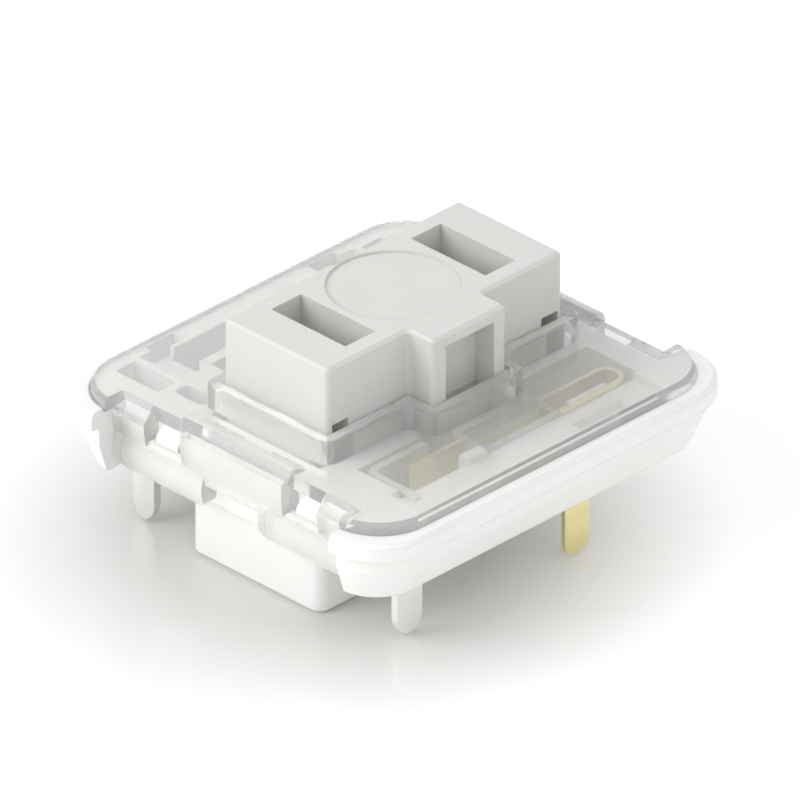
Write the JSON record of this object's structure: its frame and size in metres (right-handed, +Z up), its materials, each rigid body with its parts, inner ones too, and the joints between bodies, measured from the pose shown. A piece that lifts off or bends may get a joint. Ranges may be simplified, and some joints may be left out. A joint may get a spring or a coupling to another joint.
{
  "type": "mechanical keyboard switch",
  "caption": "Low-profile mechanical key switch with a two-slot stem, clear clip-on cover, white base, return spring and leaf contact; the stem slides down and springs back.",
  "frame": {"origin": "on the underside of the central box, below the middle of the stem", "axes": "+Z up along the stem's travel, +X along the stem's long side, -Y towards the side with the two contact pins"},
  "size_m": [0.015, 0.0138, 0.0076],
  "materials": {
    "white_nylon": "satin",
    "clear_cover": "polished",
    "white_stem": "satin",
    "spring_steel": "polished",
    "gold_leaf": "polished",
    "contact_alloy": "polished",
    "silver_plate": "satin",
    "tinned_tab": "satin"
  },
  "bodies": {
    "housing": {"base_housing": "white_nylon", "clear_cover": "clear_cover", "moving_contact": "gold_leaf", "moving_contact_point": "contact_alloy", "fixed_contact": "silver_plate", "fixed_contact_point": "contact_alloy", "solder_tab_left": "tinned_tab", "solder_tab_right": "tinned_tab", "return_spring": "spring_steel"},
    "plunger": {"stem": "white_stem"}
  },
  "joints": [
    {"name": "stem_press", "type": "slide", "parent": "housing", "child": "plunger", "axis": [0, 0, -1], "range_m": [0, 0.0021], "stiffness_N_per_m": 150, "springref_m": -0.002, "deforming": ["return_spring"]}
  ]
}
